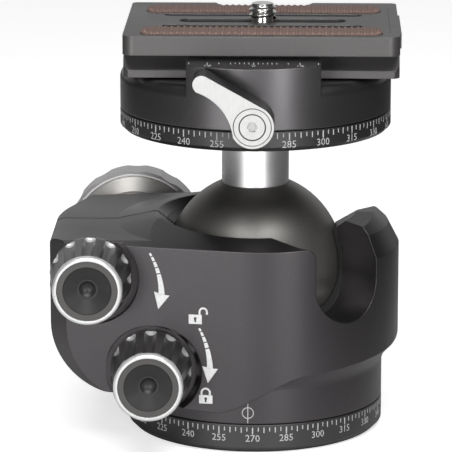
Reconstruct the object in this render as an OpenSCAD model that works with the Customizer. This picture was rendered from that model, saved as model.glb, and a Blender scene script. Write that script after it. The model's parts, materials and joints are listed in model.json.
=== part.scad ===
/* [Base] */
// Diameter of the foot
base_d = 60; // [58:0.5:62]
// Height of the foot
base_h = 6.7; // [6:0.1:8]
// Chamfer round the bottom of the foot
base_chamfer = 1.2; // [0.4:0.1:1.4]
// Outer diameter of the 3/8 inch tripod thread
tripod_thread_d = 9.525; // [9.525:0.001:9.525]
// Outer diameter of the threaded bush
socket_d = 16; // [14:0.5:17]
// Length of the threaded bush
socket_len = 9.5; // [8:0.5:10]
// Thickness of the pan washer, seen as the dark seam
pan_washer_t = 0.25; // [0.2:0.05:0.4]

/* [Pan spindle] */
// Diameter of the spindle under its flange
spindle_neck_d = 32; // [30:0.5:33]
// Height of the spindle under its flange
spindle_neck_h = 3.5; // [3:0.1:4]
// Diameter of the spindle flange that the pan lock grips
spindle_flange_d = 39.6; // [38.5:0.1:39.9]
// Thickness of the spindle flange
spindle_flange_h = 7.3; // [6.5:0.1:7.5]
// Circle on which the spindle screws stand
spindle_screw_pcd = 24; // [23:0.5:25]

/* [Ball and stem] */
// Ball diameter
ball_d = 41.5; // [40.8:0.1:41.7]
// Height of the ball centre above the foot
ball_z = 38.4; // [38.2:0.05:39]
// Gap between the ball and its seats
ball_gap = 0.15; // [0.1:0.05:0.2]
// Stem diameter
stem_d = 15.7; // [14:0.1:16.4]
// Distance from the ball centre to the underside of the upper degree ring
stem_reach = 32.6; // [32.5:0.05:34]
// Diameter of the spigot inside the ball
spigot_d = 12; // [11:0.5:12.5]

/* [Housing] */
// Diameter of the round housing wall
body_d = 64.3; // [63.5:0.1:64.5]
// Offset of that wall to the right and to the rear
body_shift = 1.7; // [1.4:0.1:1.8]
// Height of the housing rim
rim_z = 50.3; // [50:0.1:51]
// Height of the top of the left block
block_top_z = 48.4; // [48:0.1:49]
// Distance of the left face from the ball axis
block_left = 47; // [46.6:0.1:48.5]
// Angle at which the flanks of the block close in
flank_angle = 8.1; // [7.5:0.1:8.5]
// Radius of the curve under the block
block_curve_r = 15; // [14.5:0.1:16]
// Height at which the wall starts to flare out above the foot
flare_z = 15; // [14.6:0.05:15.4]
// Width of the portrait slot
slot_w = 18; // [17.6:0.1:18.6]
// Direction of the front portrait slot, in degrees from the right
slot_az = 46; // [43:1:49]
// Direction of the rear portrait slot, in degrees from the right
rear_slot_az = 50; // [48:1:54]
// Width of the clamp slit
slit_w = 1; // [0.8:0.1:1.2]
// Lower end of the clamp slit
slit_z = 26; // [25.5:0.5:28]

/* [Liner and seat] */
// Thickness of the liner beside the ball
liner_wall = 1.2; // [1.1:0.1:1.4]
// Width of the lip that holds the liner
lip_step = 1.4; // [1.3:0.1:1.6]
// Height of the shoulder under the liner
collar_z = 27.5; // [26.5:0.1:27.8]
// Height of the lip that holds the liner
lip_z = 44.65; // [44.4:0.05:45]
// How far the seat stands out over the spindle flange
cup_step = 0.95; // [0.8:0.05:1.05]
// Hole through the seat
cup_hole_d = 29; // [28:0.5:31]
// Height of the spring washer under the seat
cup_spring_h = 1.2; // [1:0.1:1.3]

/* [Front knobs] */
// Diameter of a front knob at its back rim
knob_d = 18.9; // [18:0.1:19]
// Diameter of a front knob at its front
knob_front_d = 15.9; // [15:0.1:16.5]
// Length of the upper front knob
tension_len = 14; // [13:0.5:16]
// Length of the lower front knob
pan_len = 16; // [15:0.5:18]
// Place of the upper front knob to the left of the ball axis
tension_x = 37.2; // [37:0.1:37.5]
// Height of the upper front knob
tension_z = 40.3; // [40:0.1:40.6]
// Wall between the spindle flange and the stud of the pan lock
stud_clear = 1.1; // [1:0.05:1.3]
// Height of the lower front knob
pan_z = 18.7; // [18.5:0.1:19]
// Distance of the upper pocket floor in front of the ball axis
tension_floor = 24; // [23.8:0.1:24.3]
// Distance of the lower pocket floor in front of the ball axis
pan_floor = 25.7; // [25.5:0.1:26]
// Number of flutes round a front knob
flutes = 12; // [10:1:14]

/* [Rear lock knob] */
// Diameter of the faceted grip
lock_grip_d = 33.2; // [32:0.2:34]
// Length of the faceted grip
lock_grip_len = 10; // [9:0.5:12]
// Length of the smooth collar in front of the grip
lock_collar_len = 4.2; // [4:0.1:5]
// Diameter of the collar where it meets the housing
lock_collar_d = 24.4; // [24:0.1:24.6]
// Place of the lock knob to the left of the ball axis
lock_x = 30.1; // [29.9:0.1:30.4]
// Height of the lock knob
lock_z = 35.6; // [35.4:0.1:35.7]
// Distance of the lock knob's seat behind the ball axis
lock_floor = 28.8; // [28.7:0.1:29]
// Number of facets round the grip
lock_facets = 12; // [10:1:14]

/* [Panning clamp] */
// Diameter of the upper degree ring and of the clamp drum
drum_d = 63.1; // [62:0.1:64]
// Height of the upper degree ring
ring_h = 4.6; // [4.4:0.1:5]
// Diameter of the bearing boss on the ring
boss_d = 28; // [27.5:0.5:28.5]
// Height of the bearing boss
boss_h = 5.3; // [5.2:0.1:5.6]
// Diameter of the flange that traps the drum
cap_flange_d = 34; // [33:0.5:34.5]
// Thickness of the flange that traps the drum
cap_flange_h = 2.3; // [2:0.1:2.4]
// Height of the drum side
drum_h = 9.35; // [9:0.05:9.6]
// Radius round the top edge of the drum
drum_round = 2.4; // [1.5:0.1:2.6]
// Half the width of the jaws along the plate
jaw_half = 15.2; // [14.5:0.1:16]
// Height of the clamp floor above the drum top
floor_h = 0.35; // [0.3:0.05:0.6]
// Height of the lever axis above the drum's underside
lever_up = 2.75; // [2.6:0.05:2.8]
// Radius of the lever hub
lever_hub_r = 4.85; // [4.6:0.05:5]
// Radius of the lever tip
lever_tip_r = 2; // [1.8:0.1:2.2]
// Length of the lever between its hub and its tip
lever_len = 14.8; // [14:0.1:16]
// Angle of the lever at rest, from the right
lever_angle = 139.7; // [135:0.1:145]
// Thickness of the lever
lever_t = 8.8; // [8:0.1:9]
// How far the rear jaw opens
jaw_travel = 2.4; // [2:0.1:2.6]
// Diameter of the rear clamp knob
clamp_knob_d = 17; // [15:0.5:18]
// Length of the rear clamp knob
clamp_knob_len = 11; // [10:0.5:13]

/* [Quick-release plate] */
// Length of the plate
plate_l = 63; // [61:0.1:64]
// Distance of the plate's front edge from the middle line
plate_front = 22.2; // [21:0.1:23]
// Distance of the plate's rear edge from the middle line
plate_back = 25.5; // [24:0.1:26]
// Thickness of the plate's top slab
plate_t = 4.4; // [4.2:0.1:5]
// Width of the dovetail
dovetail_w = 38; // [37.5:0.1:38.5]
// Height of the dovetail below the slab
dovetail_h = 5.65; // [5.5:0.05:5.7]
// How far the plate is slid to the right
plate_offset = 1.6; // [1:0.1:2]
// Length of the screw slot
screw_slot_l = 38.7; // [36:0.1:40]
// Width of the screw slot
screw_slot_w = 5.2; // [5:0.1:5.6]
// Distance of the rubber strips from the middle line
pad_in = 10.8; // [10.6:0.1:11]
// Width of a rubber strip
pad_w = 8.8; // [8.4:0.1:9]
// Length of a rubber strip
pad_l = 55; // [52:0.5:55.5]
// Height of the strips above the plate
pad_up = 0.6; // [0.4:0.05:0.8]
// Outer diameter of the 1/4 inch camera thread
camera_thread_d = 6.35; // [6.35:0.01:6.35]
// Height of the camera thread above the plate
camera_thread_h = 4.25; // [4:0.05:5]

/* [Hidden] */
$fn = 96;
far = 120;
slip = 0.05;
bore_gap = 0.1;
stud_d = 5;
pan_x = spindle_flange_d / 2 + stud_d / 2 + stud_clear;

// heights of the lower stack
neck_top_z = base_h + spindle_neck_h;
flange_top_z = neck_top_z + spindle_flange_h;
housing_z = base_h + pan_washer_t + slip;
chamber_d = spindle_flange_d + 0.2;
chamber_top_z = pan_z + stud_d / 2 + 0.2;
cup_d = spindle_flange_d + 2 * cup_step;
spindle_recess_z = flange_top_z - 3;
spindle_recess_d = 32.5;
cup_z = chamber_top_z + cup_spring_h;
cup_bore_d = cup_d + 0.2;
seat_d = ball_d + 2 * ball_gap;
collar_d = seat_d + 2 * liner_wall;
lip_d = collar_d - 2 * lip_step;
m3_d = 2.9;
m3_head_d = 5.4;
m3_head_h = 2.9;

// the housing outline
body_r = body_d / 2;
tangent_x = body_shift - body_r * sin(flank_angle);
curve_x = block_curve_r - block_left;
curve_z = 28.1;
front_crease = [4, 5.4];
rear_crease = [8.2, 24.6];
crease_r = 19;
corner_w = 2.5;
corner_h = 1.5;
lip_low_z = 9.3;
lip_rise = 9.3;
lip_end_x = 16;
lip_start_x = -8;
rim_cone = 0.757;
rim_slope_r = 24;
rim_foot_r = 32.6;
front_edge_y = -22;
front_edge_z = rim_z - 1.8;
front_slope = 0.12;
ear_z = rim_z + 0.55;
shoulder_low_z = 42.9;
shoulder_mid_z = 47.9;
shoulder_step = 2.6;
shoulder_w = 5.8;
ear_cut_slope = 32;
ear_cut_x = 23.2;
slot_corner_r = 2.4;

// the knobs
knob_gap = 0.2;
knob_rim_h = 1.8;
trim_h = 1.4;
trim_w = 1;
cap_r = knob_front_d / 2 - trim_w - slip;
dish_r = 5.5;
dish_depth = 1.6;
dimple_r = 2;
flute_r = 1.5;
pocket_gap = 1.6;
washer_t = 0.5;
cotter_d = 12;
cotter_end = 16;
cotter_split = 1;
cotter_relief = 0.25;
lock_stud_d = 6;
lock_stud_reach = 12;
lock_spot_d = lock_collar_d + 0.6;
lock_collar_step = 2.2;
lock_cap_d = 20;
cap_seat = 3.4;
cap_t = 3.1;

// heights of the upper stack
ring_z = ball_z + stem_reach;
ring_top_z = ring_z + ring_h;
drum_z = ring_top_z + 0.25;
drum_top_z = drum_z + drum_h;
boss_top_z = ring_top_z + boss_h;
web_top_z = boss_top_z - 0.1;
cap_top_z = boss_top_z + cap_flange_h;
drum_r = drum_d / 2;
stem_foot_z = ball_z + sqrt(pow(ball_d / 2, 2) - pow(stem_d / 2, 2)) - 0.5;
spigot_z = ball_z + 6;
stem_screw_d = 6;
stem_screw_head_d = 10;
stem_screw_head_h = 3.4;
stem_screw_z = ring_z - 11;
flange_screw_pcd = 21;
lever_z = drum_z + lever_up;
lever_y = drum_r + 0.7;
lever_pin_d = 4;
lever_head_r = 2.9;
lever_washer_r = 4.3;
pin_back = boss_d / 2 + 0.15;
pin_front = 22;
floor_z = drum_top_z + floor_h;

// the plate stands on the clamp floor
plate_z = floor_z + slip;
slab_z = plate_z + dovetail_h;
plate_top_z = slab_z + plate_t;
dovetail_lip = 1.7;
dovetail_slope = 3;
dovetail_neck = dovetail_w / 2 - dovetail_slope;
jaw_gap = 0.1;
jaw_top_z = slab_z - 0.75;
jaw_front_z = jaw_top_z - 1.2;
jaw_back_y = 25.6;
jaw_foot_z = drum_z + 0.6;
clamp_z = drum_z + 4.7;
clamp_stud_d = 5;
jaw_pin_d = 3;
jaw_pin_y = 18.8;
jaw_pin_l = 9.6;
jaw_pin_x = 10.5;
channel_w = 13.6;
channel_top_z = slab_z + 0.25;
channel_l = 52;
end_block_l = 2.2;
end_block_w = 32.6;
gap_slot_in = 6;
gap_slot_w = 3.3;
gap_slot_l = 46.2;
notch_l = 20.2;
notch_d = 3.8;
screw_head_d = 13;
stop_x = 28.2;
stop_y = 15.5;

// Places a shape that is drawn upwards so that it points to the front
module to_front(x, y, z) {
    translate([x, y, z]) rotate([90, 0, 0]) children();
}

// Places a shape that is drawn upwards so that it points to the rear
module to_rear(x, y, z) {
    translate([x, y, z]) rotate([-90, 0, 0]) children();
}

module tube(d_out, d_in, h) {
    difference() {
        cylinder(d = d_out, h = h);
        translate([0, 0, -1]) cylinder(d = d_in, h = h + 2);
    }
}

// A disc whose lower and upper edges are chamfered
module chamfered_disc(d, h, low, high) {
    rotate_extrude() polygon([
        [0, 0], [d / 2 - low, 0], [d / 2, low],
        [d / 2, h - high], [d / 2 - high, h], [0, h]
    ]);
}

module around(count, radius) {
    for (i = [0 : count - 1]) rotate(i * 360 / count) translate([radius, 0, 0]) children();
}

// A flat slot with round ends, drawn upwards
module slot_shape(l, w, h) {
    linear_extrude(h) {
        square([l - w, w], center = true);
        for (side = [-1, 1]) translate([side * (l - w) / 2, 0]) circle(d = w);
    }
}

module rounded_plate(l, w, h, r) {
    linear_extrude(h) {
        square([l - 2 * r, w], center = true);
        square([l, w - 2 * r], center = true);
        for (sx = [-1, 1], sy = [-1, 1])
            translate([sx * (l / 2 - r), sy * (w / 2 - r)]) circle(r = r);
    }
}

// ---- base ----

module base_plate() color([0.22, 0.22, 0.23]) difference() {
    chamfered_disc(base_d, base_h, base_chamfer, 0.15);
    translate([0, 0, -1]) cylinder(d = socket_d + 2 * slip, h = base_h + 2);
    translate([0, 0, 2]) around(4, spindle_screw_pcd / 2) cylinder(d = m3_d + 2 * slip, h = base_h);
}

module tripod_socket() color([0.75, 0.75, 0.77]) tube(socket_d, tripod_thread_d, socket_len);

module pan_spindle() color([0.62, 0.62, 0.64]) difference() {
    union() {
        translate([0, 0, base_h]) cylinder(d = spindle_neck_d, h = spindle_neck_h + 1);
        translate([0, 0, neck_top_z]) cylinder(d = spindle_flange_d, h = spindle_flange_h);
    }
    translate([0, 0, base_h - 1]) cylinder(d = socket_d + 2 * slip, h = socket_len - base_h + 1.5);
    translate([0, 0, spindle_recess_z]) cylinder(d = spindle_recess_d, h = far);
    around(4, spindle_screw_pcd / 2) cylinder(d = m3_d + 0.3, h = far);
}

module spindle_screws() color([0.3, 0.3, 0.31]) around(4, spindle_screw_pcd / 2) {
    translate([0, 0, 2.3]) cylinder(d = m3_d, h = spindle_recess_z - 2.3 + 1);
    translate([0, 0, spindle_recess_z]) difference() {
        cylinder(d = m3_head_d, h = m3_head_h);
        translate([0, 0, 1.4]) cylinder(d = 2.9, h = 3, $fn = 6);
    }
}

module pan_washer() color([0.08, 0.08, 0.08])
    translate([0, 0, base_h]) tube(base_d - 1.6, spindle_neck_d + 1, pan_washer_t);

// ---- housing ----

function flank(x) = (body_r + (x - body_shift) * sin(flank_angle)) / cos(flank_angle);

// Half of the left block's outline seen from above, with or without its bevel
module block_half(crease, bevelled) polygon(concat(
    [[tangent_x, 0], [tangent_x, body_r * cos(flank_angle)]],
    [[crease[0] - block_left, flank(crease[0] - block_left)]],
    bevelled ? [[-block_left, flank(crease[0] - block_left) - crease[1]]]
        : [[-block_left, flank(-block_left)]],
    [[-block_left, 0]]
));

module block_plan(bevelled) translate([0, body_shift]) {
    block_half(rear_crease, bevelled);
    mirror([0, 1]) block_half(front_crease, bevelled);
}

// Outline of the left block seen from the front. Its lower edge rises into the flare of the wall
module block_side() polygon(concat(
    [for (i = [16 : -1 : 0]) [
        lip_start_x + (lip_end_x - lip_start_x) * i / 16,
        lip_low_z + lip_rise * pow(sin(90 * i / 16), 1.5)
    ]],
    [[-17, lip_low_z + 0.8], [curve_x, curve_z - block_curve_r]],
    [for (a = [264 : -6 : 180]) [curve_x, curve_z] + block_curve_r * [cos(a), sin(a)]],
    [for (a = [180 : -9 : 90])
        [corner_w - block_left + corner_w * cos(a), block_top_z - corner_h + corner_h * sin(a)]],
    [[-rim_foot_r, block_top_z], [-rim_foot_r, far], [lip_end_x, far]]
));

module block_side_bar() translate([0, far / 2, 0]) rotate([90, 0, 0]) linear_extrude(far) block_side();

// The lower end of the bevel, turned about an axis that runs from front to rear
module bevel_cone(crease) {
    x = crease[0] - block_left;
    slope = crease[0] / crease[1];
    back = crease[1] + 2;
    inner = flank(x) - back;
    to_front(x + crease_r, -inner, curve_z)
        cylinder(r1 = crease_r + slope * back, r2 = crease_r - slope * 10, h = back + 10, $fn = 180);
    translate([-far, -inner, 0]) cube([2 * far, far, far]);
    translate([x + crease_r, -far, 0]) cube([far, 2 * far, far]);
}

module left_block() intersection() {
    union() {
        translate([0, 0, curve_z]) linear_extrude(far) block_plan(true);
        intersection() {
            linear_extrude(curve_z) block_plan(false);
            translate([0, body_shift, 0]) bevel_cone(front_crease);
            translate([0, body_shift, 0]) mirror([0, 1, 0]) bevel_cone(rear_crease);
        }
    }
    block_side_bar();
}

// The round wall, which flares out above the foot
module round_wall() intersection() {
    translate([body_shift, body_shift, housing_z]) cylinder(r = body_r, h = far, $fn = 180);
    union() {
        rotate_extrude($fn = 180) polygon([
            [0, 0], [base_d / 2, 0], [base_d / 2, flare_z],
            [base_d / 2 + 0.07, flare_z + 0.74], [base_d / 2 + 0.29, flare_z + 1.46],
            [base_d / 2 + 0.63, flare_z + 2.19], [base_d / 2 + 1.15, flare_z + 3.06],
            [base_d / 2 + 1.92, flare_z + 3.92], [base_d / 2 + 2.58, flare_z + 4.6],
            [base_d / 2 + 3.13, flare_z + 5.15], [base_d / 2 + 3.5, flare_z + 5.7],
            [base_d / 2 + 3.7, flare_z + 6.3], [base_d / 2 + 4, flare_z + 7.5],
            [far, flare_z + 9], [far, far], [0, far]
        ]);
        block_side_bar();
    }
}

// The stepped shoulder, drawn outwards from the middle of the wall
module shoulder_profile(inner) {
    low = (shoulder_mid_z - shoulder_low_z) / shoulder_step;
    high = (ear_z - shoulder_mid_z) / (shoulder_w - shoulder_step);
    polygon([
        [inner, 0], [body_r + 10, 0], [body_r + 10, shoulder_low_z - 10 * low],
        [body_r - shoulder_step, shoulder_mid_z],
        [body_r - 10, shoulder_mid_z + high * (10 - shoulder_step)],
        [inner, shoulder_mid_z + high * (10 - shoulder_step)]
    ]);
}

// The shoulder runs round the right and the rear, and straight on along the rear of the block
module shoulder_limit() translate([body_shift, body_shift, 0]) {
    rotate_extrude($fn = 180) shoulder_profile(0);
    rotate([0, 0, flank_angle]) rotate([90, 0, -90]) linear_extrude(far)
        mirror([1, 0]) translate([-0.15, 0]) shoulder_profile(-far);
    linear_extrude(far) polygon([
        [0, 0], far * [cos(slot_az), -sin(slot_az)], [0, -2 * far], [-far / 2, -far], [-far / 2, -5]
    ]);
}

// The wedge between the middle lines of the two slots, where the ear stands
module ear_wedge(top) linear_extrude(top) polygon([
    [0, 0], far * [cos(slot_az), -sin(slot_az)],
    far * [cos(rear_slot_az), sin(rear_slot_az)]
]);

// Everything below the rim: a shallow cone, and a level ear between the two slots
module top_limit() {
    rotate_extrude($fn = 180) polygon([
        [0, 0], [far, 0], [far, block_top_z], [rim_foot_r, block_top_z],
        [rim_slope_r, rim_z - 0.1], [0, rim_z]
    ]);
    ear_wedge(ear_z);
}

module above_front_slope() translate([0, front_edge_y, front_edge_z])
    rotate([atan(front_slope), 0, 0]) translate([-far, -far, 0]) cube([2 * far, 2 * far, far]);

// The ear and the liner beside it fall away towards the rear slot
module ear_cut() intersection() {
    ear_wedge(far);
    translate([ear_cut_x, 1.7, rim_z - 0.7]) rotate([0, 0, slot_az]) rotate([-ear_cut_slope, 0, 0])
        translate([-far, -far, 0]) cube([2 * far, 2 * far, far]);
}

module housing_outside() difference() {
    intersection() {
        union() {
            left_block();
            round_wall();
            translate([0, 0, housing_z]) cylinder(d = base_d, h = flare_z - housing_z, $fn = 180);
        }
        top_limit();
        shoulder_limit();
    }
    above_front_slope();
    ear_cut();
}

// The cut for the stem at full drop, drawn across the slot and swept outwards
module slot_cut(w, corner, az) rotate([0, 0, az]) rotate([90, 0, 90]) linear_extrude(far) {
    translate([0, ball_z]) circle(d = w);
    translate([-w / 2, ball_z]) square([w, far]);
    if (corner > 0) difference() {
        translate([-w / 2 - corner, front_edge_z - 0.7 - corner]) square([corner + 1, far]);
        translate([-w / 2 - corner, front_edge_z - 0.7 - corner]) circle(r = corner);
        translate([-w / 2, 0]) square([2, far]);
    }
}

module slit_cut() translate([-far, -slit_w / 2, slit_z]) cube([far - lip_d / 2 + 3, slit_w, far]);

module inner_bores() {
    rotate_extrude($fn = 180) polygon([
        [0, 0],
        [spindle_neck_d / 2 + 0.08, 0], [spindle_neck_d / 2 + 0.08, neck_top_z - 0.2],
        [chamber_d / 2, neck_top_z - 0.2], [chamber_d / 2, chamber_top_z],
        [cup_bore_d / 2, chamber_top_z], [cup_bore_d / 2, collar_z],
        [collar_d / 2, collar_z], [collar_d / 2, lip_z],
        [lip_d / 2, lip_z], [lip_d / 2, rim_z - 1.85],
        [lip_d / 2 + 4 / rim_cone, rim_z - 1.85 + 4], [lip_d / 2 + 4 / rim_cone, far], [0, far]
    ]);
}

module knob_pockets() {
    to_front(-tension_x, -tension_floor, tension_z) {
        cylinder(d = knob_d + 2 * pocket_gap, h = far);
        translate([0, 0, -far]) cylinder(d = stud_d + 2 * bore_gap, h = far + 1);
    }
    to_front(-pan_x, -pan_floor, pan_z) {
        cylinder(d = knob_d + 2 * pocket_gap - 1, h = far);
        translate([0, 0, 1.4]) cylinder(d1 = knob_d + 2 * pocket_gap - 1, d2 = knob_d + 9, h = 5);
        translate([0, 0, -pan_floor - cotter_end]) cylinder(d = cotter_d + 2 * bore_gap, h = far);
    }
    to_rear(-lock_x, lock_floor, lock_z) {
        cylinder(d = lock_spot_d, h = far);
        translate([0, 0, -lock_floor - lock_stud_reach - 1])
            cylinder(d = lock_stud_d + 2 * bore_gap, h = far);
    }
}

module housing() color([0.29, 0.28, 0.29]) difference() {
    housing_outside();
    inner_bores();
    slot_cut(slot_w, slot_corner_r, -slot_az);
    slot_cut(slot_w, 0, rear_slot_az);
    slit_cut();
    knob_pockets();
}

// Liner: hugs the ball above and below its middle, held down by the housing lip
module ball_collar() color([0.12, 0.12, 0.12]) difference() {
    rotate_extrude() polygon([
        [seat_d / 2 - 5, collar_z + slip], [collar_d / 2 - slip, collar_z + slip],
        [collar_d / 2 - slip, lip_z - slip], [lip_d / 2 - slip, lip_z - slip],
        [lip_d / 2 - slip, rim_z - 1.9], [lip_d / 2 - 2.4, rim_z - 1.9 - 2.4 * rim_cone]
    ]);
    translate([0, 0, ball_z]) sphere(d = seat_d);
    slot_cut(slot_w, slot_corner_r, -slot_az);
    slot_cut(slot_w, 0, rear_slot_az);
    ear_cut();
    slit_cut();
}

module lower_cup() color([0.13, 0.13, 0.13]) difference() {
    translate([0, 0, cup_z]) tube(cup_d, cup_hole_d, collar_z - slip - cup_z);
    translate([0, 0, ball_z]) sphere(d = seat_d);
}

module cup_spring() color([0.6, 0.6, 0.62]) rotate_extrude() polygon([
    [cup_d / 2 - 0.4, chamber_top_z], [cup_d / 2, chamber_top_z],
    [cup_d / 2 - 1.6, cup_z], [cup_d / 2 - 2.4, cup_z - 0.1]
]);

// ---- pan lock wedges ----

module cotter(y0, y1, hole) difference() {
    to_front(-pan_x, y1, pan_z) cylinder(d = cotter_d, h = y1 - y0);
    to_front(-pan_x, far / 2, pan_z) cylinder(d = stud_d + hole, h = far);
    cylinder(d = spindle_flange_d + 2 * cotter_relief, h = far);
    translate([0, 0, chamber_top_z - 0.1]) cylinder(d = cup_bore_d + 2 * cotter_relief, h = far);
}

module front_cotter() color([0.72, 0.6, 0.3])
    cotter(-pan_floor + 0.6, -cotter_split, 2 * bore_gap);

module rear_cotter() color([0.72, 0.6, 0.3]) cotter(cotter_split, cotter_end - 1, 2 * slip);

// ---- knobs ----

// A front knob: flared back rim, flutes that run out at the rim
module fluted_knob(len) difference() {
    rotate_extrude() polygon([
        [stud_d / 2 + slip, 0], [knob_d / 2 - 0.3, 0], [knob_d / 2, 0.3], [knob_d / 2, knob_rim_h],
        [knob_front_d / 2 + 0.15, len - trim_h], [cap_r + slip, len - trim_h],
        [cap_r + slip, len - 3.4], [stud_d / 2 + slip, len - 3.4]
    ]);
    around(flutes, knob_d / 2 + 0.45) translate([0, 0, 1.3]) {
        sphere(r = flute_r);
        rotate([0, -atan((knob_d - knob_front_d) / 2 / len), 0]) cylinder(r = flute_r, h = 2 * len);
    }
}

// The bright ring round the front of a knob
module trim_ring(len) translate([0, 0, len - trim_h]) rotate_extrude() polygon([
    [cap_r + slip, 0], [knob_front_d / 2, 0], [knob_front_d / 2, trim_h - 0.7],
    [knob_front_d / 2 - 0.25, trim_h - 0.2], [knob_front_d / 2 - 0.6, trim_h], [cap_r + slip, trim_h]
]);

// The dished cap, with a small bowl in its middle
module dished_cap(len) difference() {
    translate([0, 0, len - 3.3]) cylinder(r = cap_r, h = 3);
    translate([0, 0, len - 0.3 - dish_depth])
        cylinder(r1 = dimple_r + 0.3, r2 = dish_r, h = dish_depth + 0.001);
    translate([0, 0, len - 0.3 - dish_depth + dimple_r * 0.7]) sphere(r = dimple_r * 1.2);
}

module stud(d, back, len) {
    translate([0, 0, -back]) cylinder(d = d, h = back + len);
}

module at_tension() to_front(-tension_x, -tension_floor - knob_gap - washer_t, tension_z) children();
module at_pan() to_front(-pan_x, -pan_floor - knob_gap, pan_z) children();
module at_lock() to_rear(-lock_x, lock_floor + knob_gap + washer_t, lock_z) children();

module tension_knob() color([0.16, 0.16, 0.17]) at_tension() fluted_knob(tension_len);
module tension_ring() color([0.85, 0.85, 0.87]) at_tension() trim_ring(tension_len);
module tension_cap() color([0.1, 0.1, 0.1]) at_tension() dished_cap(tension_len);
module tension_stud() color([0.6, 0.6, 0.62]) at_tension()
    stud(stud_d, tension_floor - slit_w / 2 - 0.2, tension_len - 3.5);
module tension_washer() color([0.7, 0.7, 0.7]) to_front(-tension_x, -tension_floor, tension_z)
    tube(13, stud_d + 4 * slip, washer_t);

module pan_knob() color([0.16, 0.16, 0.17]) at_pan() fluted_knob(pan_len);
module pan_knob_ring() color([0.85, 0.85, 0.87]) at_pan() trim_ring(pan_len);
module pan_knob_cap() color([0.1, 0.1, 0.1]) at_pan() dished_cap(pan_len);
module pan_stud() color([0.6, 0.6, 0.62]) at_pan()
    stud(stud_d, pan_floor + cotter_end - 2, pan_len - 3.5);

module lock_stud() color([0.6, 0.6, 0.62]) at_lock()
    stud(lock_stud_d, lock_floor + lock_stud_reach, lock_collar_len + lock_grip_len - 3.5);

module lock_knob_collar() color([0.6, 0.6, 0.6]) at_lock() rotate_extrude() polygon([
    [lock_stud_d / 2 + slip, 0], [lock_collar_d / 2, 0], [lock_collar_d / 2, lock_collar_step],
    [lock_grip_d / 2 - 1, lock_collar_len], [lock_stud_d / 2 + slip, lock_collar_len]
]);

module lock_knob_grip() color([0.62, 0.61, 0.62]) at_lock() difference() {
    translate([0, 0, lock_collar_len]) rotate_extrude() polygon([
        [lock_stud_d / 2 + slip, 0], [lock_grip_d / 2 - 0.6, 0], [lock_grip_d / 2, 0.8],
        [lock_grip_d / 2, lock_grip_len - 1.4], [lock_grip_d / 2 - 1.6, lock_grip_len],
        [lock_cap_d / 2 + slip, lock_grip_len], [lock_cap_d / 2 + slip, lock_grip_len - cap_seat],
        [lock_stud_d / 2 + slip, lock_grip_len - cap_seat]
    ]);
    around(lock_facets, lock_grip_d / 2 + 9.65) translate([0, 0, lock_collar_len - 1])
        cylinder(r = 10, h = lock_grip_len + 2);
}

module lock_knob_cap() color([0.15, 0.15, 0.15]) at_lock()
    translate([0, 0, lock_collar_len + lock_grip_len - cap_seat + 0.1])
        chamfered_disc(lock_cap_d, cap_t, 0.2, 0.6);

module lock_washer() color([0.7, 0.7, 0.7]) to_rear(-lock_x, lock_floor, lock_z)
    tube(20, lock_stud_d + 4 * slip, washer_t);

// ---- ball and stem ----

module ball() color([0.3, 0.3, 0.29]) difference() {
    translate([0, 0, ball_z]) sphere(d = ball_d, $fn = 128);
    translate([0, 0, stem_foot_z - slip]) cylinder(d = stem_d + 2 * bore_gap, h = far);
    translate([0, 0, spigot_z - 0.3]) cylinder(d = spigot_d + 2 * slip, h = far);
}

module stem() color([0.8, 0.8, 0.81]) difference() {
    union() {
        translate([0, 0, stem_foot_z]) cylinder(d = stem_d, h = ring_z - stem_foot_z);
        translate([0, 0, spigot_z]) cylinder(d = spigot_d, h = stem_foot_z - spigot_z + 1);
    }
    translate([0, 0, stem_screw_z - 1]) cylinder(d = stem_screw_d + 2 * slip, h = far);
}

// The upper degree ring with its bearing boss
module clamp_ring() color([0.2, 0.2, 0.21]) difference() {
    union() {
        translate([0, 0, ring_z]) chamfered_disc(drum_d, ring_h, 1, 0.15);
        translate([0, 0, ring_top_z]) cylinder(d = boss_d, h = boss_h);
    }
    translate([0, 0, ring_z - 1]) cylinder(d = stem_screw_d + 2 * slip, h = far);
    translate([0, 0, boss_top_z - stem_screw_head_h - 0.4])
        cylinder(d = stem_screw_head_d + 0.4, h = far);
    translate([0, 0, boss_top_z - 3.4]) around(4, flange_screw_pcd / 2) cylinder(d = 2.1, h = far);
}

module stem_screw() color([0.55, 0.55, 0.57]) {
    head_z = boss_top_z - stem_screw_head_h - 0.4;
    translate([0, 0, stem_screw_z]) cylinder(d = stem_screw_d, h = head_z - stem_screw_z + 0.5);
    translate([0, 0, head_z]) difference() {
        cylinder(d = stem_screw_head_d, h = stem_screw_head_h);
        translate([0, 0, 1.4]) cylinder(d = 5, h = far, $fn = 6);
    }
}

module ring_flange() color([0.6, 0.6, 0.62]) difference() {
    translate([0, 0, boss_top_z]) tube(cap_flange_d, stem_screw_head_d + 2, cap_flange_h);
    around(4, flange_screw_pcd / 2) cylinder(d = 2.3, h = far);
    translate([0, 0, cap_top_z - 1.3]) around(4, flange_screw_pcd / 2) cylinder(d = 4, h = far);
}

module flange_screws() color([0.3, 0.3, 0.31]) around(4, flange_screw_pcd / 2) {
    translate([0, 0, boss_top_z - 3.2]) cylinder(d = 2, h = cap_flange_h + 2);
    translate([0, 0, cap_top_z - 1.3]) difference() {
        cylinder(d = 3.8, h = 1.2);
        translate([0, 0, 0.5]) cylinder(d = 1.6, h = 2, $fn = 6);
    }
}

module drum_washer() color([0.08, 0.08, 0.08])
    translate([0, 0, ring_top_z]) tube(drum_d - 1.6, boss_d + 0.6, 0.2);

// ---- panning clamp ----

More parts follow.
